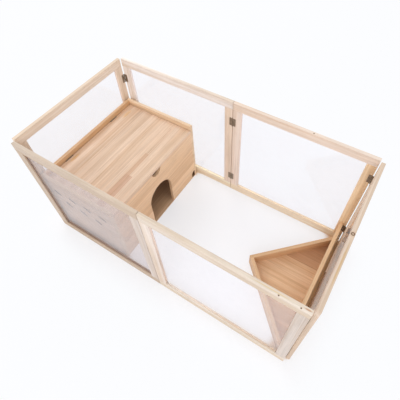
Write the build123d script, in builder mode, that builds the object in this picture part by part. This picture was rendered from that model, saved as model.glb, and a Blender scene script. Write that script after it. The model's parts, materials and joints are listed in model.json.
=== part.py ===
"""Folding pen for a small pet, with a wooden house and a corner tray inside it.

Millimetres. +X runs along the pen from the house to the tray, +Y from the front
to the back, +Z up. The origin is on the ground, at the middle of the pen.
"""

import os
from math import sqrt

from build123d import *

# Pen panels
panel_width = 500.0
panel_height = 490.0
slat_thickness = 12.5
stile_width = 32.0
top_rail_height = 32.0
bottom_rail_height = 36.0
slat_arris = 0.8
panel_gap = 2.0

# Panes, and the groove that holds them in the slats
pane_thickness = 3.0
groove_width = 5.0
groove_depth = 7.0
inner_lip = 3.0
pane_engagement = 6.0

# Butt hinges, one pattern for the whole object
hinge_height = 36.0
leaf_reach = 12.5
leaf_thickness = 1.0
knuckle_radius = 1.9
knuckle_gap = 0.3
pin_radius = 1.0
pin_clearance = 0.05
open_pivot_clearance = 0.25
pin_proud = 2.2
pin_head_radius = 1.7
pin_head_height = 0.9
pin_tail_length = 0.8
barrel_sides = 12
screw_hole_radius = 1.7
screw_hole_sides = 8
screw_spacing = 20.0
pen_hinge_inset = 89.0

# What is lifted or opened inside the pen passes the panels and hinges at this distance
swing_clearance = 0.3

# House, and its gap to the long panels
house_length = 324.5
house_end_gap = 3.948
house_rim_height = 307.0
house_wall = 12.0
house_floor_thickness = 3.0
house_side_gap = 10.7
board_arris = 0.8

# Doorway, finger scoop and foot notch in the door wall
door_width = 130.0
door_height = 190.0
door_offset = 3.0
scoop_radius = 25.0
notch_radius = 21.0
notch_rise = 15.0

# Slanted air slots in the front wall, in two rows below its rim
vent_length = 33.0
vent_width = 6.0
vent_slant = -25.0
vent_pitch = 73.0
vent_row_pitch = 52.0
vent_inset = 73.0
vent_upper_count = 4

# Lid of the house, sunk between the rims
lid_thickness = 12.0
lid_recess = 21.0
lid_side_clearance = 1.5
lid_seat_clearance = 0.3
lid_hinge_inset = 119.5

# Corner tray. Its tall end board spans the pen, and its low boards end short of the back.
tray_height = 57.0
tray_end_height = 122.0
tray_board = 12.5
tray_floor_thickness = 12.0
tray_back_gap = 32.0

# The six pin lines stand on a rectangle, two panels long and one panel wide.
pin_pitch = panel_width + panel_gap
pin_x = pin_pitch
pin_y = pin_pitch / 2
inner_x = pin_x + pin_proud
inner_y = pin_y + pin_proud

os.makedirs("parts", exist_ok=True)


def save(piece, label):
    """Label a finished piece and write its file."""
    piece.part.label = label
    export_step(piece.part, f"parts/{label}.step")


# Pen panels: two rails over the full width, two stiles tongued between them, one pane

stile_length = panel_height - top_rail_height - bottom_rail_height
groove_middle = inner_lip + groove_width / 2


def panel_rail(label, frame, foot, height, groove_edge):
    """One rail. groove_edge is 1 with the groove in its top, -1 with it below."""
    section = Plane(origin=frame.origin, x_dir=frame.y_dir, z_dir=frame.x_dir)
    groove_height = foot + height / 2 + groove_edge * (height - groove_depth) / 2
    with BuildPart() as rail:
        with BuildSketch(section):
            with Locations((slat_thickness / 2, foot + height / 2)):
                outline = Rectangle(slat_thickness, height)
            chamfer(outline.vertices(), length=slat_arris)
            with Locations((groove_middle, groove_height)):
                Rectangle(groove_width, groove_depth, mode=Mode.SUBTRACT)
        extrude(amount=panel_width)
    save(rail, label)


def panel_stile(label, frame, middle, pane_side):
    """One stile. pane_side is 1 where the pane lies towards the panel's far end."""
    groove_at = middle + pane_side * (stile_width - groove_depth) / 2
    tongue_at = middle - pane_side * groove_depth / 2
    with BuildPart() as stile:
        with BuildSketch(frame.offset(bottom_rail_height)):
            with Locations((middle, slat_thickness / 2)):
                outline = Rectangle(stile_width, slat_thickness)
            chamfer(outline.vertices(), length=slat_arris)
            with Locations((groove_at, groove_middle)):
                Rectangle(groove_depth, groove_width, mode=Mode.SUBTRACT)
        extrude(amount=stile_length)
        # A tongue at each end fills the rail's groove.
        with BuildSketch(frame.offset(bottom_rail_height - groove_depth)):
            with Locations((tongue_at, groove_middle)):
                Rectangle(stile_width - groove_depth, groove_width)
        extrude(amount=stile_length + 2 * groove_depth)
    save(stile, label)


def panel_pane(label, frame):
    """The clear pane, against the inner lip and standing in the lower groove."""
    length = panel_width - 2 * stile_width + 2 * pane_engagement
    height = stile_length + groove_depth + pane_engagement
    with BuildPart() as pane:
        with BuildSketch(frame.offset(bottom_rail_height - groove_depth)):
            with Locations((panel_width / 2, inner_lip + pane_thickness / 2)):
                Rectangle(length, pane_thickness)
        extrude(amount=height)
    save(pane, label)


def pen_panel(name, frame, start_side, end_side):
    """The five pieces of one panel. Its frame runs along the foot of the inner face."""
    top_rail_foot = panel_height - top_rail_height
    panel_rail(f"{name}_bottom_rail", frame, 0, bottom_rail_height, 1)
    panel_rail(f"{name}_top_rail", frame, top_rail_foot, top_rail_height, -1)
    panel_stile(f"{name}_{start_side}_stile", frame, stile_width / 2, 1)
    panel_stile(f"{name}_{end_side}_stile", frame, panel_width - stile_width / 2, -1)
    panel_pane(f"{name}_pane", frame)


# Hinges: a leaf with two knuckles carries the pin, a leaf with one knuckle turns on it

knuckle_length = (hinge_height - 2 * knuckle_gap) / 3
knuckle_pitch = knuckle_length + knuckle_gap
plate_start = knuckle_radius + knuckle_gap
outer_knuckles = (-1, 1)
middle_knuckle = (0,)


def leaf_plane(pin_point, along, outward):
    """The plane of a leaf, at half its height on the pin's axis.

    Its x runs along the leaf, and its y towards the face that the leaf lies on.
    """
    return Plane(origin=pin_point, x_dir=along, z_dir=along.cross(outward))


def hinge_leaves(label, planes, knuckles, clearance):
    """The alike leaves of one joint, with knuckles at the given places along the pin."""
    plate_middle = (plate_start + leaf_reach) / 2
    face_middle = pin_proud - leaf_thickness / 2
    with BuildPart() as leaves:
        for plane in planes:
            with BuildSketch(plane):
                with Locations((plate_middle, face_middle)):
                    Rectangle(leaf_reach - plate_start, leaf_thickness)
            extrude(amount=hinge_height / 2, both=True)
            for place in knuckles:
                with BuildSketch(plane.offset(place * knuckle_pitch)):
                    RegularPolygon(knuckle_radius, barrel_sides)
                    with Locations((plate_start / 2, face_middle)):
                        Rectangle(plate_start, leaf_thickness)
                    RegularPolygon(
                        pin_radius + clearance,
                        barrel_sides,
                        major_radius=False,
                        mode=Mode.SUBTRACT,
                    )
                extrude(amount=knuckle_length / 2, both=True)
            seat = Plane(origin=plane.origin, x_dir=plane.x_dir, z_dir=plane.y_dir)
            with BuildSketch(seat.offset(pin_proud)):
                with Locations((plate_middle, -screw_spacing / 2), (plate_middle, screw_spacing / 2)):
                    RegularPolygon(screw_hole_radius, screw_hole_sides)
            extrude(amount=-leaf_thickness, mode=Mode.SUBTRACT)
    save(leaves, label)


def hinge_pins(label, planes):
    """The headed pins of some hinges, each standing in the middle of its plane."""
    tail = -hinge_height / 2 - pin_tail_length
    with BuildPart() as pins:
        for plane in planes:
            with BuildSketch(plane.offset(tail)):
                RegularPolygon(pin_radius, barrel_sides)
            extrude(amount=hinge_height + pin_tail_length)
            with BuildSketch(plane.offset(hinge_height / 2)):
                RegularPolygon(pin_head_radius, barrel_sides)
            extrude(amount=pin_head_height)
    save(pins, label)


# The pen, clockwise from the front left corner. Each panel runs from its own pin line
# to the next one, and every second panel carries the pins at both of its ends.

pin_lines = [
    Vector(-pin_x, -pin_y),
    Vector(-pin_x, pin_y),
    Vector(0, pin_y),
    Vector(pin_x, pin_y),
    Vector(pin_x, -pin_y),
    Vector(0, -pin_y),
]
panels = [
    ("left_end", "front", "back"),
    ("back_left", "left", "right"),
    ("back_right", "left", "right"),
    ("right_end", "back", "front"),
    ("front_right", "right", "left"),
    ("front_left", "right", "left"),
]
open_pivot_leaf = "front_right_right"
up = Vector(0, 0, 1)
hinge_levels = [up * pen_hinge_inset, up * (panel_height - pen_hinge_inset)]

for index, (name, start_side, end_side) in enumerate(panels):
    start_pin = pin_lines[index]
    end_pin = pin_lines[(index + 1) % len(pin_lines)]
    along = (end_pin - start_pin).normalized()
    outward = up.cross(along)
    corner = start_pin + along * (panel_gap / 2) + outward * pin_proud
    pen_panel(name, Plane(origin=corner, x_dir=along, z_dir=up), start_side, end_side)

    carries_pins = index % 2 == 1
    knuckles = outer_knuckles if carries_pins else middle_knuckle
    pin_planes = []
    for side, pin, away in ((start_side, start_pin, along), (end_side, end_pin, -along)):
        planes = [leaf_plane(pin + level, away, outward) for level in hinge_levels]
        at_open_pivot = f"{name}_{side}" == open_pivot_leaf
        clearance = open_pivot_clearance if at_open_pivot else pin_clearance
        hinge_leaves(f"{name}_{side}_hinge_leaves", planes, knuckles, clearance)
        pin_planes += [Plane(origin=pin + level, z_dir=up) for level in hinge_levels]
    if carries_pins:
        hinge_pins(f"{name}_hinge_pins", pin_planes)


# House: a floor, four walls and a hinged lid. Front and back walls run the full length.
# It stands off the left end of the pen so far that the lid, opened 5 degrees past upright, clears the rail.

lid_top = house_rim_height - lid_recess
lid_foot = lid_top - lid_thickness
door_wall_top = lid_foot - lid_seat_clearance
house_left = -inner_x + house_end_gap
lid_pin_x = house_left + house_wall + pin_proud
house_right = house_left + house_length
house_middle = (house_left + house_right) / 2
house_half_width = inner_y - house_side_gap
cabin_half_width = house_half_width - house_wall
rim_wall_height = house_rim_height - house_floor_thickness


def house_floor():
    """The thin board that the walls stand on."""
    with BuildPart() as floor:
        with BuildSketch():
            with Locations((house_middle, 0)):
                Rectangle(house_length, 2 * house_half_width)
        extrude(amount=house_floor_thickness)
    save(floor, "house_floor")


def house_long_wall(label, back_face, vent_rows):
    """A wall along X, drawn on its back face and thickened towards the front.

    vent_rows lists the number and height of the slanted slots in each row.
    """
    with BuildPart() as wall:
        with BuildSketch(Plane.XZ.offset(-back_face)):
            with Locations((house_middle, house_floor_thickness + rim_wall_height / 2)):
                Rectangle(house_length, rim_wall_height)
            for count, height in vent_rows:
                with Locations((house_middle, height)):
                    with GridLocations(vent_pitch, vent_pitch, count, 1):
                        SlotOverall(vent_length, vent_width, vent_slant, mode=Mode.SUBTRACT)
        extrude(amount=house_wall)
        chamfer(wall.edges().group_by(Axis.Z)[-1], length=board_arris)
    save(wall, label)


def house_left_wall():
    """The wall behind the lid's hinges, between the long walls."""
    with BuildPart() as wall:
        with BuildSketch(Plane.YZ.offset(house_left)):
            with Locations((0, house_floor_thickness + rim_wall_height / 2)):
                Rectangle(2 * cabin_half_width, rim_wall_height)
        extrude(amount=house_wall)
        chamfer(wall.edges().group_by(Axis.Z)[-1].filter_by(Axis.Y), length=board_arris)
    save(wall, "house_left_wall")


def house_door_wall():
    """The wall with the arched doorway, the finger scoop and the notch at its foot."""
    height = door_wall_top - house_floor_thickness
    arch_radius = door_width / 2
    spring = door_height - arch_radius
    notch_height = house_floor_thickness + notch_rise
    with BuildPart() as wall:
        with BuildSketch(Plane.YZ.offset(house_right - house_wall)):
            with Locations((0, house_floor_thickness + height / 2)):
                Rectangle(2 * cabin_half_width, height)
            with Locations((door_offset, spring / 2)):
                Rectangle(door_width, spring, mode=Mode.SUBTRACT)
            with Locations((door_offset, spring)):
                Circle(arch_radius, mode=Mode.SUBTRACT)
            with Locations((door_offset, door_wall_top)):
                Circle(scoop_radius, mode=Mode.SUBTRACT)
            with Locations((cabin_half_width, notch_height)):
                Circle(notch_radius, mode=Mode.SUBTRACT)
        extrude(amount=house_wall)
    save(wall, "house_door_wall")


vent_height = house_rim_height - vent_inset
vent_rows = [
    (vent_upper_count, vent_height),
    (vent_upper_count - 1, vent_height - vent_row_pitch),
]

house_floor()
house_long_wall("house_front_wall", -cabin_half_width, vent_rows)
house_long_wall("house_back_wall", house_half_width, [])
house_left_wall()
house_door_wall()


# Lid: one glued board between the rims, hinged at the left wall, resting on the door wall

lid_left = house_left + house_wall + lid_side_clearance
lid_half_width = cabin_half_width - lid_side_clearance
lid_hinge_y = house_half_width - lid_hinge_inset
lid_hinge_seat = lid_pin_x + pin_proud
lid_notch_length = hinge_height + 2 * (pin_head_height + swing_clearance)


def house_lid():
    """The lid board, notched for its hinges, with eased edges along its top."""
    notch_x = (lid_left + lid_hinge_seat) / 2
    with BuildPart() as lid:
        with BuildSketch(Plane.XY.offset(lid_foot)):
            with Locations(((lid_left + house_right) / 2, 0)):
                Rectangle(house_right - lid_left, 2 * lid_half_width)
            with Locations((notch_x, -lid_hinge_y), (notch_x, lid_hinge_y)):
                Rectangle(lid_hinge_seat - lid_left, lid_notch_length, mode=Mode.SUBTRACT)
        extrude(amount=lid_thickness)
        chamfer(lid.edges().group_by(Axis.Z)[-1], length=board_arris)
    save(lid, "house_lid")


def lid_hinges():
    """Two hinges between the left wall's inner face and the lid's edge."""
    down = -up
    to_wall = Vector(-1, 0, 0)
    pins = [Vector(lid_pin_x, place, lid_top) for place in (-lid_hinge_y, lid_hinge_y)]
    wall_planes = [leaf_plane(pin, down, to_wall) for pin in pins]
    lid_planes = [leaf_plane(pin, down, -to_wall) for pin in pins]
    hinge_leaves("house_lid_hinge_wall_leaves", wall_planes, outer_knuckles, pin_clearance)
    hinge_leaves("house_lid_hinge_lid_leaves", lid_planes, middle_knuckle, pin_clearance)
    hinge_pins("house_lid_hinge_pins", wall_planes)


house_lid()
lid_hinges()


# Tray: a right-angled triangle against a tall board along the right end of the pen. The
# board stands just inside the free edges of the hinges.

tray_right = pin_x - leaf_reach - swing_clearance
tray_reach = inner_y - (swing_clearance + tray_back_gap) / 2
tray_shift = (swing_clearance - tray_back_gap) / 2
tray_depth = tray_reach + tray_board
tray_apex_x = tray_right - tray_depth
end_board_back = tray_reach + tray_back_gap - swing_clearance
board_skew = tray_board * sqrt(2)
board_half_skew = board_skew / 2
inner_reach = tray_reach - board_skew


def tray_piece(label, points, height):
    """One upright piece of the tray, from its plan. Points count from the tray's apex."""
    corners = [(tray_apex_x + x, tray_shift + y) for x, y in points]
    with BuildPart() as piece:
        with BuildSketch():
            with BuildLine():
                Polyline(*corners, close=True)
            make_face()
        extrude(amount=height)
    save(piece, label)


tray_piece(
    "tray_back_board",
    [
        (0, 0),
        (board_half_skew, -board_half_skew),
        (tray_reach, inner_reach),
        (tray_reach, tray_reach),
    ],
    tray_height,
)
tray_piece(
    "tray_front_board",
    [
        (board_half_skew, -board_half_skew),
        (board_skew, 0),
        (tray_reach, -inner_reach),
        (tray_reach, -tray_reach),
    ],
    tray_height,
)
tray_piece(
    "tray_floor",
    [(board_skew, 0), (tray_reach, -inner_reach), (tray_reach, inner_reach)],
    tray_floor_thickness,
)
tray_piece(
    "tray_end_board",
    [
        (tray_reach, -tray_reach),
        (tray_depth, -tray_reach),
        (tray_depth, end_board_back),
        (tray_reach, end_board_back),
    ],
    tray_end_height,
)
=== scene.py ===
"""Looks of the folding pen: woods, clear panes, bronze hinges, screws, floor, light and camera.

Metres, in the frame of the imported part. +X runs from the house to the tray, +Y from front
to back, +Z up.
"""

import json
from math import cos, pi, radians, sin

import bmesh
import bpy
from mathutils import Matrix, Vector


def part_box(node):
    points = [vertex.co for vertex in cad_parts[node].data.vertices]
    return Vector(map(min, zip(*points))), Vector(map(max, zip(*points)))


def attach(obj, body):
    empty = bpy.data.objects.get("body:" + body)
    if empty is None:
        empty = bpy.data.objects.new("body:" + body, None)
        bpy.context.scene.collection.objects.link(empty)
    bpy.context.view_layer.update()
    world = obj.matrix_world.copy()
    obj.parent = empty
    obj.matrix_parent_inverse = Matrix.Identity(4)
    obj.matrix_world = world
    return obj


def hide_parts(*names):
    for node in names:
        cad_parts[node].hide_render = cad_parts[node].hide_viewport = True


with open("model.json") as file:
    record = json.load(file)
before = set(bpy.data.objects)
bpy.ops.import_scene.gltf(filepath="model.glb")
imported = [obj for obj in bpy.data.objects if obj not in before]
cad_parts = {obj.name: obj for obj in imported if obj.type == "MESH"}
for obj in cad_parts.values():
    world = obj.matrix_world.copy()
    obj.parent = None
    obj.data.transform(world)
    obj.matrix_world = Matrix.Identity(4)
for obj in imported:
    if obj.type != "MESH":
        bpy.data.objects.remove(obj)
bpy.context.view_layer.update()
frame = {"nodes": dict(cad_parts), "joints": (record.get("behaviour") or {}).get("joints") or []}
nodes = frame["nodes"]
joints = {joint["name"]: joint for joint in frame["joints"]}
mm = 0.001
up = Vector((0, 0, 1))


# Shading


def shade(red, green, blue):
    """A colour as it looks on screen, from 0 to 255, in the linear values that shaders take."""
    linear = []
    for value in (red, green, blue):
        share = value / 255
        linear.append(share / 12.92 if share <= 0.04045 else ((share + 0.055) / 1.055) ** 2.4)
    return (*linear, 1.0)


def toned(colour, shares):
    """The shader's value of a screen colour whose three values are each scaled by a share."""
    return shade(*(min(255, value * share) for value, share in zip(colour, shares)))


class Shader:
    """The nodes of a new material or world, added and linked in short calls."""

    def __init__(self, owner):
        owner.use_nodes = True
        self.owner = owner
        self.tree = owner.node_tree
        self.tree.nodes.clear()

    def node(self, kind, values, **settings):
        """Adds a node. Each value is a number, a colour or another node's output."""
        node = self.tree.nodes.new("ShaderNode" + kind)
        for name, setting in settings.items():
            setattr(node, name, setting)
        for socket, value in values.items():
            if isinstance(value, bpy.types.NodeSocket):
                self.tree.links.new(value, node.inputs[socket])
            else:
                node.inputs[socket].default_value = value
        return node

    def maths(self, operation, *values):
        """The result of a Math node."""
        return self.node("Math", dict(enumerate(values)), operation=operation).outputs[0]

    def vector(self, operation, *values):
        """The vector that a Vector Math node gives."""
        return self.node("VectorMath", dict(enumerate(values)), operation=operation).outputs[0]

    def measure(self, operation, *values):
        """The number that a Vector Math node gives."""
        values = dict(enumerate(values))
        return self.node("VectorMath", values, operation=operation).outputs["Value"]

    def mix(self, factor, first, second, blend="MIX"):
        """Mixes two colours."""
        values = {0: factor, 6: first, 7: second}
        return self.node("Mix", values, data_type="RGBA", blend_type=blend).outputs[2]

    def between(self, value, low, high, to_low=0.0, to_high=1.0):
        """Maps low and high to two other values, smoothly and no further."""
        values = {"Value": value, 1: low, 2: high, 3: to_low, 4: to_high}
        return self.node("MapRange", values, interpolation_type="SMOOTHSTEP").outputs[0]

    def here(self):
        """The point's place in the frame of the part."""
        return self.node("TexCoord", {}).outputs["Object"]

    def noise(self, place, scales, detail, roughness):
        """Noise from 0 to 1, with its own scale along each axis."""
        stretched = self.vector("MULTIPLY", place, scales)
        values = {"Vector": stretched, "Scale": 1.0, "Detail": detail, "Roughness": roughness}
        return self.node("TexNoise", values).outputs[0]

    def white_noise(self, seed):
        """An even random number from 0 to 1 for each seed."""
        return self.node("TexWhiteNoise", {"W": seed}, noise_dimensions="1D").outputs[0]

    def finish(self, surface, output="OutputMaterial"):
        """Links the surface to the output, and returns the material or world."""
        self.node(output, {"Surface": surface})
        return self.owner


# Woods

# The turn that lays a board's grain along X
grain_turns = {
    "X": (0, 0, 0),
    "Y": (0, 0, -pi / 2),
    "Z": (0, pi / 2, 0),
    "back diagonal": (0, 0, -pi / 4),
    "front diagonal": (0, 0, pi / 4),
}
# How far a board's seed and a strip's tone move their patterns
seed_step = (0.731, 0.417, 0.293)
strip_shift = 0.9
# The lights of the darkest and the palest strip, and the dark line between two strips: half
# of its width, and its light
strip_lights = (0.97, 1.02)
glue_line = 0.4 * mm
glue_light = 0.8
# Between these lie most of a noise's values.
most_noise = (0.3, 0.7)

# Each pattern's scale along the grain and across it, its detail and its roughness
wood_patterns = {
    "waver": (2.2, 9.0, 1.0, 0.5),
    "ring strength": (1.6, 60.0, 1.0, 0.5),
    "bands": (0.9, 34.0, 2.0, 0.5),
    "streaks": (2.6, 150.0, 2.0, 0.5),
    "flecks": (42.0, 520.0, 2.0, 0.5),
    "blotches": (4.0, 14.0, 2.0, 0.5),
    "fibres": (14.0, 950.0, 2.0, 0.6),
    "threads": (5.0, 260.0, 3.0, 0.65),
    "clouds": (8.0, 22.0, 3.0, 0.6),
}
# The shares of a board's colour in its pale and deep bands and its reddish marks
pale_shares = (1.045, 1.06, 1.08)
deep_shares = (0.97, 0.945, 0.91)
red_shares = (0.88, 0.79, 0.68)
ring_redness = 0.5
# The reddish marks: where on its pattern a mark starts and is full, and how red it is there
red_marks = {
    "streaks": (0.52, 0.76, 0.36),
    "flecks": (0.58, 0.74, 0.3),
    "blotches": (0.55, 0.75, 0.22),
}
# The light of each pattern at its low and high ends
pattern_lights = {"fibres": (0.95, 1.035), "threads": (0.915, 1.06), "clouds": (0.96, 1.03)}

# Yearly rings: how wide they are, how deep their heart lies and how far it wavers, and how far
# from the middle they go on before they start again
ring_width = 3.4 * mm
heart_nearest = 0.05
heart_spread = 0.11
waver_reach = 0.035
board_fold = 0.09
depth_fold = 0.05
# Late wood over one ring, from 0 to 1 across it, and its weakest and strongest rings
late_rise = (0.35, 0.88)
late_fall = (0.9, 1.0)
ring_noise = (0.3, 0.75)
ring_strengths = (0.1, 0.62)

# A stain's edge, in shares of its spread: how far it frays, and where it starts to fade
stain_fray = 0.9
stain_core = 0.4
# A line of painted shade round an air slot, in a share of its reach: where it starts to fade
shade_line_core = 0.85
# Painted shade on the cut faces of the air slots and round them, where they lie in shade
slot_shade = shade(92, 72, 60)
# A knot, in shares of its radius: the core's soft edge, the rim's start and the halo's end
knot_core = (0.35, 0.65)
knot_rim = 0.8
knot_halo = 2.2
halo_redness = 0.4
knot_brown = shade(92, 62, 38)

# Fibres stand up a little and late wood lies lower.
fibre_height = 0.6
ring_height = -0.5
relief_strength = 0.18
relief_depth = 0.15 * mm
wood_roughness = (0.47, 0.6)
wood_specular = 0.4


def strip_tone(cut, across, seed, strip_width):
    """A random tone, and its light, for a whole board or for the glued strip at a point."""
    if not strip_width:
        return cut.white_noise(seed), 1.0
    strips = cut.maths("DIVIDE", across, strip_width)
    tone = cut.white_noise(cut.maths("FLOOR", strips))
    tone_light = cut.between(tone, 0.0, 1.0, *strip_lights)
    edge = cut.maths("PINGPONG", strips, 0.5)
    line_light = cut.between(edge, 0.0, glue_line / strip_width, glue_light, 1.0)
    return tone, cut.maths("MULTIPLY", tone_light, line_light)


def year_rings(cut, across, deepways, tone, patterns):
    """The late wood of yearly rings, circles round a wavering heart some way outside the board."""
    board_across = cut.maths("WRAP", across, board_fold, -board_fold)
    board_deep = cut.maths("WRAP", deepways, depth_fold, -depth_fold)
    heart = cut.maths("MULTIPLY_ADD", tone, heart_spread, heart_nearest)
    ring_across = cut.maths("MULTIPLY_ADD", patterns["waver"], waver_reach, board_across)
    ring_deep = cut.maths("ADD", board_deep, heart)
    squares = [cut.maths("POWER", side, 2.0) for side in (ring_across, ring_deep)]
    radius = cut.maths("SQRT", cut.maths("ADD", *squares))
    year = cut.maths("FRACT", cut.maths("DIVIDE", radius, ring_width))
    rise = cut.between(year, *late_rise)
    fall = cut.between(year, *late_fall, 1.0, 0.0)
    strength = cut.between(patterns["ring strength"], *ring_noise, *ring_strengths)
    return cut.maths("MULTIPLY", cut.maths("MULTIPLY", rise, fall), strength)


def with_accent(cut, body, here, low, high, tint):
    """The wood's colour, tinted inside a box."""
    inside = 1.0
    for side, side_low, side_high in zip(cut.node("SeparateXYZ", {0: here}).outputs, low, high):
        above = cut.maths("GREATER_THAN", side, side_low)
        below = cut.maths("LESS_THAN", side, side_high)
        inside = cut.maths("MULTIPLY", cut.maths("MULTIPLY", above, below), inside)
    return cut.mix(inside, body, tint, "MULTIPLY")


def with_stain(cut, body, here, threads, middle, spread, tint):
    """The wood's colour, tinted in an oval that frays along the threads."""
    offset = cut.vector("DIVIDE", cut.vector("SUBTRACT", here, middle), spread)
    distance = cut.measure("LENGTH", offset)
    centred = cut.maths("SUBTRACT", distance, stain_fray / 2)
    ragged = cut.maths("MULTIPLY_ADD", threads, stain_fray, centred)
    return cut.mix(cut.between(ragged, stain_core, 1.0, 1.0, 0.0), body, tint, "MULTIPLY")


def with_knot(cut, body, here, red, middle, radius, core):
    """The wood's colour with a dark knot or nail head, its core paler or as dark, in a red halo."""
    share = cut.maths("DIVIDE", cut.measure("DISTANCE", here, middle), radius)
    rim = cut.between(share, knot_rim, 1.0, 1.0, 0.0)
    filled = cut.between(share, *knot_core, core, 1.0)
    halo = cut.between(share, knot_rim, knot_halo, halo_redness, 0.0)
    return cut.mix(cut.maths("MULTIPLY", rim, filled), cut.mix(halo, body, red), knot_brown)


def with_shade_line(cut, body, here, start, end, reach):
    """The wood's colour, darkened with painted shade as far as a reach round the line between two
    points.
    """
    run = end - start
    along_run = run.normalized()
    offset = cut.vector("SUBTRACT", here, start)
    along = cut.maths("MAXIMUM", cut.measure("DOT_PRODUCT", offset, along_run), 0.0)
    along = cut.maths("MINIMUM", along, run.length)
    scale = {0: along_run, "Scale": along}
    nearest = cut.node("VectorMath", scale, operation="SCALE").outputs[0]
    distance = cut.measure("DISTANCE", offset, nearest)
    line_shaded = cut.between(distance, shade_line_core * reach, reach, 1.0, 0.0)
    return cut.mix(line_shaded, body, slot_shade, "MULTIPLY")


def wood(name, grain, seed, colour, strip_width=0.0, accents=(), stains=(), knots=(), shade_lines=()):
    """A planed softwood of a mean colour, with its grain along one direction of the part.

    With a strip width it is a glued panel of strips. Each accent, stain, knot and line of
    painted shade holds the last values of the function that adds it.
    """
    cut = Shader(bpy.data.materials.new(name))
    here = cut.here()
    along_grain = cut.node("Mapping", {"Vector": here, "Rotation": grain_turns[grain]}).outputs[0]
    moved = cut.vector("ADD", along_grain, [step * seed for step in seed_step])
    across, deepways = cut.node("SeparateXYZ", {0: moved}).outputs[1:]
    tone, light = strip_tone(cut, across, seed, strip_width)
    shift = cut.maths("MULTIPLY", tone, strip_shift)
    shifted = cut.node("CombineXYZ", {0: shift, 1: shift, 2: shift}).outputs[0]
    place = cut.vector("ADD", moved, shifted)
    patterns = {}
    for kind, (lengthways, crossways, detail, roughness) in wood_patterns.items():
        scales = (lengthways, crossways, crossways)
        patterns[kind] = cut.noise(place, scales, detail, roughness)
    rings = year_rings(cut, across, deepways, tone, patterns)

    red = toned(colour, red_shares)
    bands = cut.between(patterns["bands"], *most_noise)
    body = cut.mix(bands, toned(colour, pale_shares), toned(colour, deep_shares))
    body = cut.mix(cut.maths("MULTIPLY", rings, ring_redness), body, red)
    for kind, (start, full, redness) in red_marks.items():
        body = cut.mix(cut.between(patterns[kind], start, full, 0.0, redness), body, red)
    for accent in accents:
        body = with_accent(cut, body, here, *accent)
    for stain in stains:
        body = with_stain(cut, body, here, patterns["threads"], *stain)
    for knot in knots:
        body = with_knot(cut, body, here, red, *knot)
    # Lines of painted shade round the air slots
    for shade_line in shade_lines:
        body = with_shade_line(cut, body, here, *shade_line)
    for kind, (low_light, high_light) in pattern_lights.items():
        pattern_light = cut.between(patterns[kind], *most_noise, low_light, high_light)
        light = cut.maths("MULTIPLY", pattern_light, light)
    light_colour = cut.node("CombineColor", {0: light, 1: light, 2: light}).outputs[0]
    body = cut.mix(1.0, body, light_colour, "MULTIPLY")

    fibres = patterns["fibres"]
    sunk_rings = cut.maths("MULTIPLY", rings, ring_height)
    height = cut.maths("MULTIPLY_ADD", fibres, fibre_height, sunk_rings)
    relief = {"Strength": relief_strength, "Distance": relief_depth, "Height": height}
    surface = {
        "Base Color": body,
        "Roughness": cut.between(fibres, 0.2, 0.8, *wood_roughness),
        "Normal": cut.node("Bump", relief).outputs[0],
        "Specular IOR Level": wood_specular,
    }
    return cut.finish(cut.node("BsdfPrincipled", surface).outputs[0])


# The mean colour of each board. Part is the wood's own tone and part is painted light: the
# boards at the back and the left are paler and those at the front and the right darker, as
# the light falls on them.
board_colours_with_painted_light = {
    "left_end": (238, 222, 206),
    "back_left": (238, 227, 218),
    "back_left_bottom_rail": (249, 236, 212),
    "back_left_right_stile": (238, 221, 206),
    "back_right": (234, 216, 201),
    "back_right_bottom_rail": (246, 232, 210),
    "back_right_right_stile": (245, 216, 180),
    "right_end": (221, 201, 182),
    "front_right": (222, 208, 192),
    "front_right_bottom_rail": (227, 214, 198),
    "front_right_left_stile": (231, 216, 202),
    "front_right_right_stile": (206, 192, 180),
    "front_left": (208, 191, 174),
    "front_left_bottom_rail": (197, 175, 153),
    "front_left_right_stile": (216, 205, 198),
    "house": (232, 199, 166),
    # Painted light: the front wall is paler to lift the shade in the narrow gap before the pane.
    "house_front_wall": (232, 210, 182),
    "house_left_wall": (226, 188, 148),
    "house_back_wall": (234, 205, 172),
    "house_door_wall": (239, 203, 165),
    "house_lid": (230, 201, 175),
    "tray": (220, 183, 144),
    "tray_floor": (226, 188, 150),
    "tray_end_board": (227, 190, 150),
}
strip_widths = {"house_lid": 0.062, "tray_floor": 0.045, "house_floor": 0.052}
# The boards whose grain doesn't run along their longest side
turned_grains = {
    "tray_floor": "X",
    "tray_back_board": "back diagonal",
    "tray_front_board": "front diagonal",
}

# Accents are boxes with a tint.
notch_shade = shade(120, 88, 62)
# Painted shade: the faces inside the house's cabin are darker than the faces outside.
cabin_painted_shade = ((-0.4884, -0.2306, -0.01), (-0.1876, 0.2306, 0.2741), shade(240, 230, 219))
piece_accents = {
    # Painted shade on the cut faces of the air slots
    "house_front_wall": [((-0.47, -0.2422, 0.15), (-0.20, -0.2308, 0.26), slot_shade)],
    # The reddish strip of the lid, and the joint behind it
    "house_lid": [
        ((-0.256, -0.240, 0.2), (-0.225, -0.070, 0.3), shade(238, 224, 218)),
        ((-0.256, -0.070, 0.2), (-0.241, 0.045, 0.3), shade(243, 232, 226)),
        ((-0.2496, 0.045, 0.2), (-0.2478, 0.200, 0.3), shade(226, 208, 194)),
    ],
    # The foot notch, deep in shade, with the cabin's corner behind it
    "house_door_wall": [((-0.1876, 0.2085, 0.0029), (-0.1761, 0.2312, 0.0395), notch_shade)],
    "house_back_wall": [((-0.215, 0.2300, 0.0), (-0.1761, 0.2310, 0.045), notch_shade)],
    "house_floor": [((-0.215, 0.2000, 0.0), (-0.1761, 0.2310, 0.02), shade(165, 150, 128))],
    # The shaded lip beside the tray
    "right_end_bottom_rail": [
        ((0.500, -0.235, 0.0355), (0.5076, 0.080, 0.0365), shade(165, 138, 108)),
    ],
    # The darker board at the back of the tray's floor
    "tray_floor": [((0.2, 0.0797, -0.1), (0.5, 0.24, 0.1), shade(228, 215, 208))],
}

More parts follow.
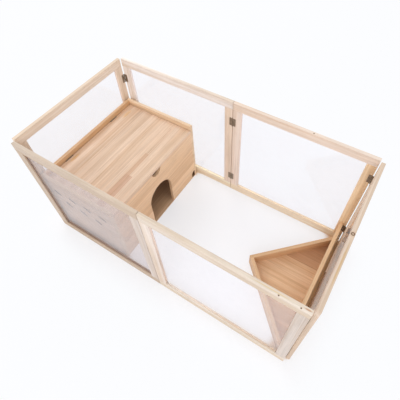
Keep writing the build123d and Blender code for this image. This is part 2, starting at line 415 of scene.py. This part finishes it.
# Stains are ovals with a middle, a spread along each axis and a tint.
ochre = shade(250, 237, 208)
rust = shade(226, 196, 178)
piece_stains = {
    "front_right_top_rail": [
        ((0.400, -0.2600, 0.490), (0.070, 0.0022, 0.008), ochre),
        ((0.489, -0.2590, 0.490), (0.012, 0.0030, 0.004), rust),
    ],
    "right_end_top_rail": [((0.5120, -0.120, 0.490), (0.0030, 0.085, 0.004), ochre)],
    "house_lid": [
        ((-0.470, -0.110, 0.286), (0.008, 0.035, 0.01), ochre),
        ((-0.458, 0.175, 0.286), (0.010, 0.035, 0.01), ochre),
    ],
}

# Knots and nail heads have a middle, a radius and the darkness of their core.
piece_knots = {
    "front_right_top_rail": [
        ((0.4185, -0.2640, 0.490), 1.9 * mm, 1.0),
        ((0.4737, -0.2640, 0.490), 1.9 * mm, 1.0),
    ],
    "back_right_top_rail": [((0.290, 0.2580, 0.490), 2.2 * mm, 1.0)],
    "right_end_top_rail": [((0.5105, -0.0235, 0.490), 5.6 * mm, 0.2)],
}

# The air slots of the house's front wall: how many stand in a row and how high, how far
# apart they are, how they lean, and how far round them shade is painted on the wood
slot_rows = [(4, 0.234), (3, 0.182)]
slot_pitch = 0.073
slot_tilt = radians(25)
slot_half = Vector((cos(slot_tilt), 0, -sin(slot_tilt))) * 11.0 * mm
slot_shade_reach = 6.8 * mm

# The groove in a slat, painted paler as painted light against its shade, from the slat's inner face
# and its edge
groove_painted_light = (1.6, 1.65, 1.7, 1.0)
groove_start = 2.8 * mm
groove_end = 8.2 * mm
groove_depth = 7.0 * mm
groove_rim = 0.4 * mm


def slot_shade_lines():
    """The lines of painted shade round the air slots, each with its two ends and its reach."""
    low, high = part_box("house_front_wall")
    shade_lines = []
    for count, height in slot_rows:
        for number in range(count):
            along = (low.x + high.x) / 2 + (number - (count - 1) / 2) * slot_pitch
            middle = Vector((along, low.y, height))
            shade_lines.append((middle - slot_half, middle + slot_half, slot_shade_reach))
    return shade_lines


def thinnest(low, high):
    """The axis along which a box is thinnest."""
    sides = high - low
    return min(range(3), key=lambda axis: sides[axis])


def groove_box(name):
    """The accent of the groove in a rail or stile, painted paler than its faces as painted light
    against its shade.
    """
    low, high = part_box(name)
    thin = thinnest(low, high)
    if low[thin] > 0:
        across = (low[thin] + groove_start, low[thin] + groove_end)
    else:
        across = (high[thin] - groove_end, high[thin] - groove_start)
    if name.endswith("_rail"):
        open_axis = 2
        open_high = "bottom" in name
    else:
        panel = name.rsplit("_", 2)[0]
        rail_low, rail_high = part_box(f"{panel}_top_rail")
        open_axis = 1 - thin
        open_high = (low + high)[open_axis] < (rail_low + rail_high)[open_axis]
    start, end = low.copy(), high.copy()
    start[thin], end[thin] = across
    if open_high:
        start[open_axis] = high[open_axis] - groove_depth - groove_rim
        end[open_axis] = high[open_axis] - groove_rim
    else:
        start[open_axis] = low[open_axis] + groove_rim
        end[open_axis] = low[open_axis] + groove_depth + groove_rim
    return start, end, groove_painted_light


def board_colour(name):
    """The colour of the longest name in the table that the piece's name starts with."""
    starts = [start for start in board_colours_with_painted_light if name.startswith(start)]
    return board_colours_with_painted_light[max(starts, key=len)]


def dress_woods():
    """Gives every wooden piece of the part its own cut of wood."""
    for seed, name in enumerate(sorted(nodes), start=1):
        if name.endswith("_pane") or "hinge" in name:
            continue
        low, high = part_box(name)
        sides = high - low
        longest = "XYZ"[max(range(3), key=lambda axis: sides[axis])]
        accents = list(piece_accents.get(name, ()))
        # The house's pieces take the painted shade inside the cabin.
        if name.startswith("house_"):
            accents.append(cabin_painted_shade)
        # Rails and stiles take the painted light of their grooves.
        if name.endswith(("_rail", "_stile")):
            accents.append(groove_box(name))
        materials = nodes[name].data.materials
        materials.clear()
        materials.append(wood(
            name,
            turned_grains.get(name, longest),
            seed,
            board_colour(name),
            strip_width=strip_widths.get(name, 0.0),
            accents=accents,
            stains=piece_stains.get(name, ()),
            knots=piece_knots.get(name, ()),
            # painted shade round the air slots
            shade_lines=slot_shade_lines() if name == "house_front_wall" else (),
        ))


# Meshes

round_steps = 28
corner_steps = 6
weld_distance = 0.002 * mm
smooth_angle = radians(35)


def arc(middle, radius, turns):
    """The points of a circle at some turns."""
    return [(middle[0] + radius * cos(turn), middle[1] + radius * sin(turn)) for turn in turns]


def circle(middle, radius):
    """The points of a whole circle."""
    return arc(middle, radius, [2 * pi * step / round_steps for step in range(round_steps)])


def corner(middle, radius, start):
    """The points of a quarter turn from the start angle."""
    turns = [start + pi / 2 * step / corner_steps for step in range(corner_steps + 1)]
    return arc(middle, radius, turns)


def flat_plate(loops, thickness, edge):
    """A mesh plate from outlines in its own plane. Loops inside the first are holes."""
    curve = bpy.data.curves.new("plate", "CURVE")
    curve.dimensions = "2D"
    curve.fill_mode = "BOTH"
    curve.extrude = thickness / 2 - edge
    curve.bevel_depth = edge
    curve.bevel_resolution = 1
    curve.offset = -edge
    for loop in loops:
        spline = curve.splines.new("POLY")
        spline.points.add(len(loop) - 1)
        for point, (x, y) in zip(spline.points, loop):
            point.co = (x, y, 0, 1)
        spline.use_cyclic_u = True
    holder = bpy.data.objects.new("plate", curve)
    mesh = bpy.data.meshes.new_from_object(holder)
    bpy.data.objects.remove(holder)
    bpy.data.curves.remove(curve)
    return mesh


def turned(profile):
    """A mesh turned about Z from a profile of radii and heights, ends on the axis closed."""
    shape = bmesh.new()
    rings = []
    for radius, height in profile:
        if radius == 0:
            rings.append([shape.verts.new((0, 0, height))])
        else:
            rings.append([shape.verts.new((x, y, height)) for x, y in circle((0, 0), radius)])
    for low, high in zip(rings, rings[1:]):
        for step in range(round_steps):
            after = (step + 1) % round_steps
            if len(low) == 1:
                shape.faces.new((low[0], high[after], high[step]))
            elif len(high) == 1:
                shape.faces.new((low[step], low[after], high[0]))
            else:
                shape.faces.new((low[step], low[after], high[after], high[step]))
    mesh = bpy.data.meshes.new("turned")
    shape.normal_update()
    shape.to_mesh(mesh)
    shape.free()
    return mesh


def placed(meshes, matrix):
    """Copies of meshes, moved by a matrix."""
    copies = [mesh.copy() for mesh in meshes]
    for copy in copies:
        copy.transform(matrix)
    return copies


def linked(name, data):
    """A new object in the scene."""
    piece = bpy.data.objects.new(name, data)
    bpy.context.scene.collection.objects.link(piece)
    return piece


def joined(name, meshes, material):
    """One object from meshes that are already in place."""
    shape = bmesh.new()
    for mesh in meshes:
        shape.from_mesh(mesh)
    bmesh.ops.remove_doubles(shape, verts=shape.verts, dist=weld_distance)
    bmesh.ops.recalc_face_normals(shape, faces=shape.faces)
    whole = bpy.data.meshes.new(name)
    shape.to_mesh(whole)
    shape.free()
    whole.shade_smooth()
    whole.set_sharp_from_angle(angle=smooth_angle)
    whole.materials.append(material)
    return linked(name, whole)


# Clear panes

sheet_clearance = 0.1 * mm
mirrored_head_on = 0.034
mirrored_power = 7.0
pane_roughness = 0.06
smear_scales = (7.0, 7.0, 7.0)
smear_shares = (0.8, 1.2)


def acrylic(name, clear_colour, veil_colour, veil_share):
    """Clear sheet with a gloss and a faint veil over what lies behind it."""
    pane = Shader(bpy.data.materials.new(name))
    clear = pane.node("BsdfTransparent", {"Color": clear_colour}).outputs[0]
    veil = pane.node("BsdfDiffuse", {"Color": veil_colour}).outputs[0]
    mirror = {"Color": (1.0, 1.0, 1.0, 1.0), "Roughness": pane_roughness}
    gloss = pane.node("BsdfGlossy", mirror).outputs[0]
    smears = pane.noise(pane.here(), smear_scales, 3.0, 0.5)
    share = pane.between(smears, *most_noise, *(veil_share * smear for smear in smear_shares))
    veiled = pane.node("MixShader", {0: share, 1: clear, 2: veil}).outputs[0]
    # How much a surface mirrors, alike from its two sides
    facing = pane.node("LayerWeight", {"Blend": 0.5}).outputs["Facing"]
    edge_on = pane.maths("POWER", facing, mirrored_power)
    mirrored = pane.maths("MULTIPLY_ADD", edge_on, 1.0 - mirrored_head_on, mirrored_head_on)
    # Light that falls on the wood behind it passes whole.
    rays = pane.node("LightPath", {}).outputs
    falling = pane.maths("MAXIMUM", rays["Is Shadow Ray"], rays["Is Diffuse Ray"])
    shine = pane.maths("MULTIPLY", mirrored, pane.maths("SUBTRACT", 1.0, falling))
    return pane.finish(pane.node("MixShader", {0: shine, 1: veiled, 2: gloss}).outputs[0])


def sheet_mesh(name):
    """A pane's sheet, a hair clear of the lip and of the foot of the groove that it stands in."""
    low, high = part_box(name)
    thin = thinnest(low, high)
    if low[thin] > 0:
        low[thin] += sheet_clearance
    else:
        high[thin] -= sheet_clearance
    low.z += sheet_clearance
    shape = bmesh.new()
    bmesh.ops.create_cube(shape, size=1.0)
    mesh = bpy.data.meshes.new("sheet")
    shape.to_mesh(mesh)
    shape.free()
    mesh.transform(Matrix.Diagonal((*(high - low), 1.0)))
    mesh.transform(Matrix.Translation((low + high) / 2))
    return mesh


def fit_panes():
    """Clear panes; the front left one is greyer and hazier, a painted reflection of what it mirrors
    at its steep angle.
    """
    clear = acrylic("clear_acrylic", shade(254, 254, 255), shade(246, 243, 250), 0.08)
    # Painted reflection: the front left pane's tint and thicker veil stand in for what it mirrors.
    tinted = acrylic("acrylic_with_painted_reflection", shade(243, 240, 241), shade(222, 216, 217), 0.16)
    for name in nodes:
        if name.endswith("_pane"):
            look = tinted if name == "front_left_pane" else clear
            sheet = joined(f"{name}.sheet", [sheet_mesh(name)], look)
            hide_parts(name)
            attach(sheet, name.removesuffix("_pane"))


# Hinges

hinge_height = 36.0 * mm
leaf_reach = 12.5 * mm
leaf_thickness = 1.0 * mm
leaf_corner = 2.2 * mm
leaf_edge = 0.15 * mm
knuckle_radius = 1.9 * mm
knuckle_gap = 0.3 * mm
knuckle_bore = 1.08 * mm
knuckle_edge = 0.25 * mm
pin_radius = 1.0 * mm
pin_proud = 2.2 * mm
pin_head_radius = 1.7 * mm
pin_head_height = 0.9 * mm
pin_tail = 0.8 * mm
pin_edge = 0.3 * mm
screw_spacing = 20.0 * mm
screw_radius = 2.1 * mm
screw_head = 0.7 * mm
screw_edge = 0.1 * mm
screw_middle = 0.45 * mm
recess_arm = 1.35 * mm
recess_half_width = 0.3 * mm
# The dished hole round a screw, with its depths below the leaf's face
sink_radius = 2.35 * mm
sink_foot_radius = 1.5 * mm
sink_top = 0.15 * mm
sink_depth = 0.75 * mm
sink_back = 0.9 * mm

knuckle_length = (hinge_height - 2 * knuckle_gap) / 3
knuckle_pitch = knuckle_length + knuckle_gap
plate_start = knuckle_radius + knuckle_gap
plate_middle = (plate_start + leaf_reach) / 2
screw_heights = (-screw_spacing / 2, screw_spacing / 2)
wear_scales = (420.0, 420.0, 420.0)
# The turn in degrees of the first screw's recess, and how much further the next ones stand
first_turn = 20
turn_by_screw = 109
turn_by_leaf = 124
# The knuckles that a leaf has, of the three at -1, 0 and 1 along the pin
outer_knuckles = (-1, 1)
middle_knuckle = (0,)

pin_corner = Vector(joints["pen_fold"]["pos_m"])
pin_x = abs(pin_corner.x)
pin_y = abs(pin_corner.y)
pen_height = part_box("left_end_top_rail")[1].z
hinge_inset = 89.0 * mm
# Each panel's name and the sides of its two hinge lines, clockwise from the front left corner
panels = [
    ("left_end", "front", "back"),
    ("back_left", "left", "right"),
    ("back_right", "left", "right"),
    ("right_end", "back", "front"),
    ("front_right", "right", "left"),
    ("front_left", "right", "left"),
]
pin_lines = [
    Vector((-pin_x, -pin_y, 0)),
    Vector((-pin_x, pin_y, 0)),
    Vector((0, pin_y, 0)),
    Vector((pin_x, pin_y, 0)),
    Vector((pin_x, -pin_y, 0)),
    Vector((0, -pin_y, 0)),
]


def bronze():
    """Dark bronze plating, a little worn."""
    metal = Shader(bpy.data.materials.new("dark_bronze"))
    worn = metal.noise(metal.here(), wear_scales, 3.0, 0.6)
    dark, bright = shade(132, 114, 96), shade(172, 153, 130)
    surface = {
        "Base Color": metal.mix(metal.between(worn, 0.42, 0.7), dark, bright),
        "Metallic": 0.4,
        "Roughness": metal.between(worn, *most_noise, 0.34, 0.5),
    }
    return metal.finish(metal.node("BsdfPrincipled", surface).outputs[0])


def leaf_points(knuckles):
    """The outline of a leaf in its plane: x away from the pin, y up the pin."""
    top = hinge_height / 2
    free = leaf_reach - leaf_corner
    points = corner((free, -top + leaf_corner), leaf_corner, -pi / 2)
    points += corner((free, top - leaf_corner), leaf_corner, 0)
    if 1 not in knuckles:
        points.append((plate_start, top))
    for place in sorted(knuckles, reverse=True):
        high = place * knuckle_pitch + knuckle_length / 2
        low = place * knuckle_pitch - knuckle_length / 2
        if place < 1:
            points.append((plate_start, high))
        points += [(0, high), (0, low)]
        if place > -1:
            points.append((plate_start, low))
    if -1 not in knuckles:
        points.append((plate_start, -top))
    return points


def barrel(place):
    """One knuckle round the pin, at its place along the hinge."""
    half = knuckle_length / 2
    mesh = turned([
        (knuckle_bore, -half),
        (knuckle_radius - knuckle_edge, -half),
        (knuckle_radius, -half + knuckle_edge),
        (knuckle_radius, half - knuckle_edge),
        (knuckle_radius - knuckle_edge, half),
        (knuckle_bore, half),
        (knuckle_bore, -half),
    ])
    mesh.transform(Matrix.Translation((0, 0, place * knuckle_pitch)))
    return mesh


def leaf_meshes(knuckles):
    """The meshes of one leaf: x away from the pin, y towards its seat, z up the pin."""
    holes = [circle((plate_middle, height), sink_radius)[::-1] for height in screw_heights]
    plate = flat_plate([leaf_points(knuckles)] + holes, leaf_thickness, leaf_edge)
    # The plate is drawn in XY and stood up, with its back on the seat.
    plate.transform(Matrix.Rotation(pi / 2, 4, "X"))
    plate.transform(Matrix.Translation((0, pin_proud - leaf_thickness / 2, 0)))
    return [plate] + [barrel(place) for place in knuckles]


def screw_meshes():
    """One countersunk screw head with a cross recess, and the dished hole round it."""
    arm, width = recess_arm, recess_half_width
    quarter = [(arm, -width), (arm, width), (width, width)]
    cross = []
    for _ in range(4):
        cross += quarter
        quarter = [(-y, x) for x, y in quarter]
    head = flat_plate([circle((0, 0), screw_radius), cross[::-1]], screw_head, screw_edge)
    head.transform(Matrix.Rotation(pi / 2, 4, "X"))
    head.transform(Matrix.Translation((0, screw_middle, 0)))
    dish = turned([
        (0, sink_depth),
        (sink_foot_radius, sink_depth),
        (sink_radius, sink_top),
        (sink_radius, sink_back),
        (0, sink_back),
    ])
    dish.transform(Matrix.Rotation(-pi / 2, 4, "X"))
    return [head, dish]


def pin_mesh():
    """A pin with a domed head and an eased tail, its middle at the origin."""
    foot = -hinge_height / 2 - pin_tail
    top = hinge_height / 2
    return turned([
        (0, foot),
        (pin_radius - pin_edge, foot),
        (pin_radius, foot + pin_edge),
        (pin_radius, top),
        (pin_head_radius, top),
        (pin_head_radius, top + 0.4 * pin_head_height),
        (0.75 * pin_head_radius, top + 0.85 * pin_head_height),
        (0, top + pin_head_height),
    ])


def seat_matrix(pin_point, away, seat, upward):
    """The matrix of a leaf's axes: away from the pin, towards its seat, up the pin."""
    matrix = Matrix((away, seat, upward)).transposed().to_4x4()
    matrix.translation = pin_point
    return matrix


def fit_leaves(node, body, places, knuckles, metal):
    """Detailed leaves and their screws in place of a node of plain ones."""
    leaves = []
    screws = []
    for leaf, place in enumerate(places):
        leaves += placed(leaf_meshes(knuckles), place)
        for screw, height in enumerate(screw_heights):
            seat = Matrix.Translation((plate_middle, pin_proud - leaf_thickness, height))
            degrees = first_turn + turn_by_screw * screw + turn_by_leaf * leaf
            turn = Matrix.Rotation(radians(degrees), 4, "Y")
            screws += placed(screw_meshes(), place @ seat @ turn)
    leaf_piece = joined(f"{node}.leaves", leaves, metal)
    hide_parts(node)
    screw_piece = joined(f"{node}.screws", screws, metal)
    for piece in (leaf_piece, screw_piece):
        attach(piece, body)


def fit_pins(node, body, places, metal):
    """Detailed pins in place of a node of plain ones."""
    pins = []
    for place in places:
        pins += placed([pin_mesh()], place)
    piece = joined(f"{node}.pins", pins, metal)
    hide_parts(node)
    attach(piece, body)


def fit_pen_hinges(metal):
    """The hinges of the pen. Every other panel carries the pins."""
    levels = [up * hinge_inset, up * (pen_height - hinge_inset)]
    for index, (name, start_side, end_side) in enumerate(panels):
        start_pin = pin_lines[index]
        end_pin = pin_lines[(index + 1) % len(pin_lines)]
        along = (end_pin - start_pin).normalized()
        outward = up.cross(along)
        carries_pins = index % 2 == 1
        knuckles = outer_knuckles if carries_pins else middle_knuckle
        pin_places = []
        for side, pin, away in ((start_side, start_pin, along), (end_side, end_pin, -along)):
            places = [seat_matrix(pin + level, away, outward, up) for level in levels]
            fit_leaves(f"{name}_{side}_hinge_leaves", name, places, knuckles, metal)
            pin_places += places
        if carries_pins:
            fit_pins(f"{name}_hinge_pins", name, pin_places, metal)


def fit_lid_hinges(metal):
    """The two hinges between the left wall of the house and its lid."""
    pin_point = Vector(joints["lid_hinge"]["pos_m"])
    low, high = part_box("house_lid_hinge_pins")
    middles = [
        round(low.y, 4) + hinge_height / 2 + pin_tail,
        round(high.y, 4) - hinge_height / 2 - pin_head_height,
    ]
    to_wall = Vector((-1, 0, 0))
    down = -up
    wall_places = []
    lid_places = []
    for middle in middles:
        pin = Vector((pin_point.x, middle, pin_point.z))
        for seat, kept in ((to_wall, wall_places), (-to_wall, lid_places)):
            kept.append(seat_matrix(pin, down, seat, down.cross(seat)))
    fit_leaves("house_lid_hinge_wall_leaves", "house", wall_places, outer_knuckles, metal)
    fit_leaves("house_lid_hinge_lid_leaves", "house_lid", lid_places, middle_knuckle, metal)
    fit_pins("house_lid_hinge_pins", "house", wall_places, metal)


# Floor, light and camera

floor_half = 9.0
floor_height = -0.3 * mm
# How far a gap's sides shade it, the shares of open sky from full shade to none, and the
# share of its glow that a gap keeps in mirrors
gap_reach = 60 * mm
gap_sky = (0.3, 0.46)
gap_bounce = 0.35
# The floor's own glow in the pen and beyond a border round it
glow_inside = 0.56
glow_outside = 0.95
glow_border = 0.13
sky_strength = 0.82

# The photograph's camera, found from the pen's edges in its frame of 400 by 400 pixels
frame_pixels = 400
focal_pixels = 361.0
principal_pixels = (214.57, 177.89)
camera_place = Vector((0.4579, -0.5797, 1.3074))
camera_forward = Vector((-0.3321, 0.5112, -0.7927))
camera_right = Vector((0.8497, 0.5270, -0.0161))
sensor_width = 36.0


def floor_material():
    """Pale and matt, with a white glow that only the eye and mirrors see."""
    floor = Shader(bpy.data.materials.new("studio_floor"))
    # A narrow gap between two boards keeps its full shadow, and its floor is painted warm there, as
    # painted light bounced off the boards.
    sky = floor.node("AmbientOcclusion", {"Distance": gap_reach}, samples=24).outputs["AO"]
    open_floor = floor.between(sky, *gap_sky)
    colour = floor.mix(open_floor, shade(240, 208, 168), shade(250, 249, 253))
    matt = floor.node("BsdfDiffuse", {"Color": colour}).outputs[0]
    white = floor.node("Emission", {"Color": shade(252, 253, 255), "Strength": 1.0}).outputs[0]

    along, across = floor.node("SeparateXYZ", {0: floor.here()}).outputs[:2]
    past_ends = floor.maths("SUBTRACT", floor.maths("ABSOLUTE", along), pin_x)
    past_sides = floor.maths("SUBTRACT", floor.maths("ABSOLUTE", across), pin_y)
    past = floor.maths("MAXIMUM", past_ends, past_sides)
    glow = floor.between(past, 0.0, glow_border, glow_inside, glow_outside)

    rays = floor.node("LightPath", {}).outputs
    seen = floor.maths("MULTIPLY", rays["Is Camera Ray"], open_floor)
    bounced = floor.maths("MAXIMUM", rays["Is Glossy Ray"], rays["Is Transmission Ray"])
    bounce_share = floor.maths("MULTIPLY_ADD", open_floor, 1.0 - gap_bounce, gap_bounce)
    bounced = floor.maths("MULTIPLY", bounced, bounce_share)
    share = floor.maths("MULTIPLY", floor.maths("MAXIMUM", seen, bounced), glow)
    return floor.finish(floor.node("MixShader", {0: share, 1: matt, 2: white}).outputs[0])


def studio_floor():
    """A wide floor just under the part, which keeps the shadows and is white outside them."""
    sides = ((-1, -1), (1, -1), (1, 1), (-1, 1))
    corners = [(x * floor_half, y * floor_half, floor_height) for x, y in sides]
    mesh = bpy.data.meshes.new("studio_floor")
    mesh.from_pydata(corners, [], [(0, 1, 2, 3)])
    mesh.materials.append(floor_material())
    piece = linked("studio_floor", mesh)


def studio_world():
    """An even sky that lights softly and looks white."""
    world = bpy.data.worlds.new("studio")
    bpy.context.scene.world = world
    sky = Shader(world)
    rays = sky.node("LightPath", {}).outputs
    seen = sky.maths("MAXIMUM", rays["Is Camera Ray"], rays["Is Glossy Ray"])
    strength = sky.between(seen, 0.0, 1.0, sky_strength, 1.0)
    light = {"Color": (1.0, 1.0, 1.0, 1.0), "Strength": strength}
    sky.finish(sky.node("Background", light).outputs[0], "OutputWorld")


def soft_lamp(name, place, target, size, power):
    """A rectangular lamp at a place, turned to a target."""
    lamp = bpy.data.lights.new(name, "AREA")
    lamp.shape = "RECTANGLE"
    lamp.size, lamp.size_y = size
    lamp.energy = power
    holder = linked(name, lamp)
    holder.location = place
    turn = (Vector(target) - Vector(place)).to_track_quat("-Z", "Y")
    holder.rotation_euler = turn.to_euler()


def photo_camera():
    """The camera that took the photograph."""
    lens = bpy.data.cameras.new("photo_camera")
    lens.sensor_width = sensor_width
    lens.lens = focal_pixels * sensor_width / frame_pixels
    lens.shift_x = 0.5 - principal_pixels[0] / frame_pixels
    lens.shift_y = principal_pixels[1] / frame_pixels - 0.5
    lens.clip_start = 0.01
    forward = camera_forward.normalized()
    right = (camera_right - forward * camera_right.dot(forward)).normalized()
    matrix = Matrix((right, right.cross(forward), -forward)).transposed().to_4x4()
    matrix.translation = camera_place
    holder = linked("photo_camera", lens)
    holder.matrix_world = matrix
    bpy.context.scene.camera = holder


def main():
    """Dresses the part and sets up the studio."""
    dress_woods()
    fit_panes()
    metal = bronze()
    fit_pen_hinges(metal)
    fit_lid_hinges(metal)
    studio_floor()
    studio_world()
    soft_lamp("key", (1.2, -3.0, 2.6), target=(0, 0, 0.2), size=(2.2, 2.2), power=46)
    soft_lamp("back_fill", (-2.2, 1.6, 2.4), target=(0, 0, 0.3), size=(2.0, 1.6), power=26)
    photo_camera()
    bpy.context.scene.view_settings.view_transform = "Standard"


main()
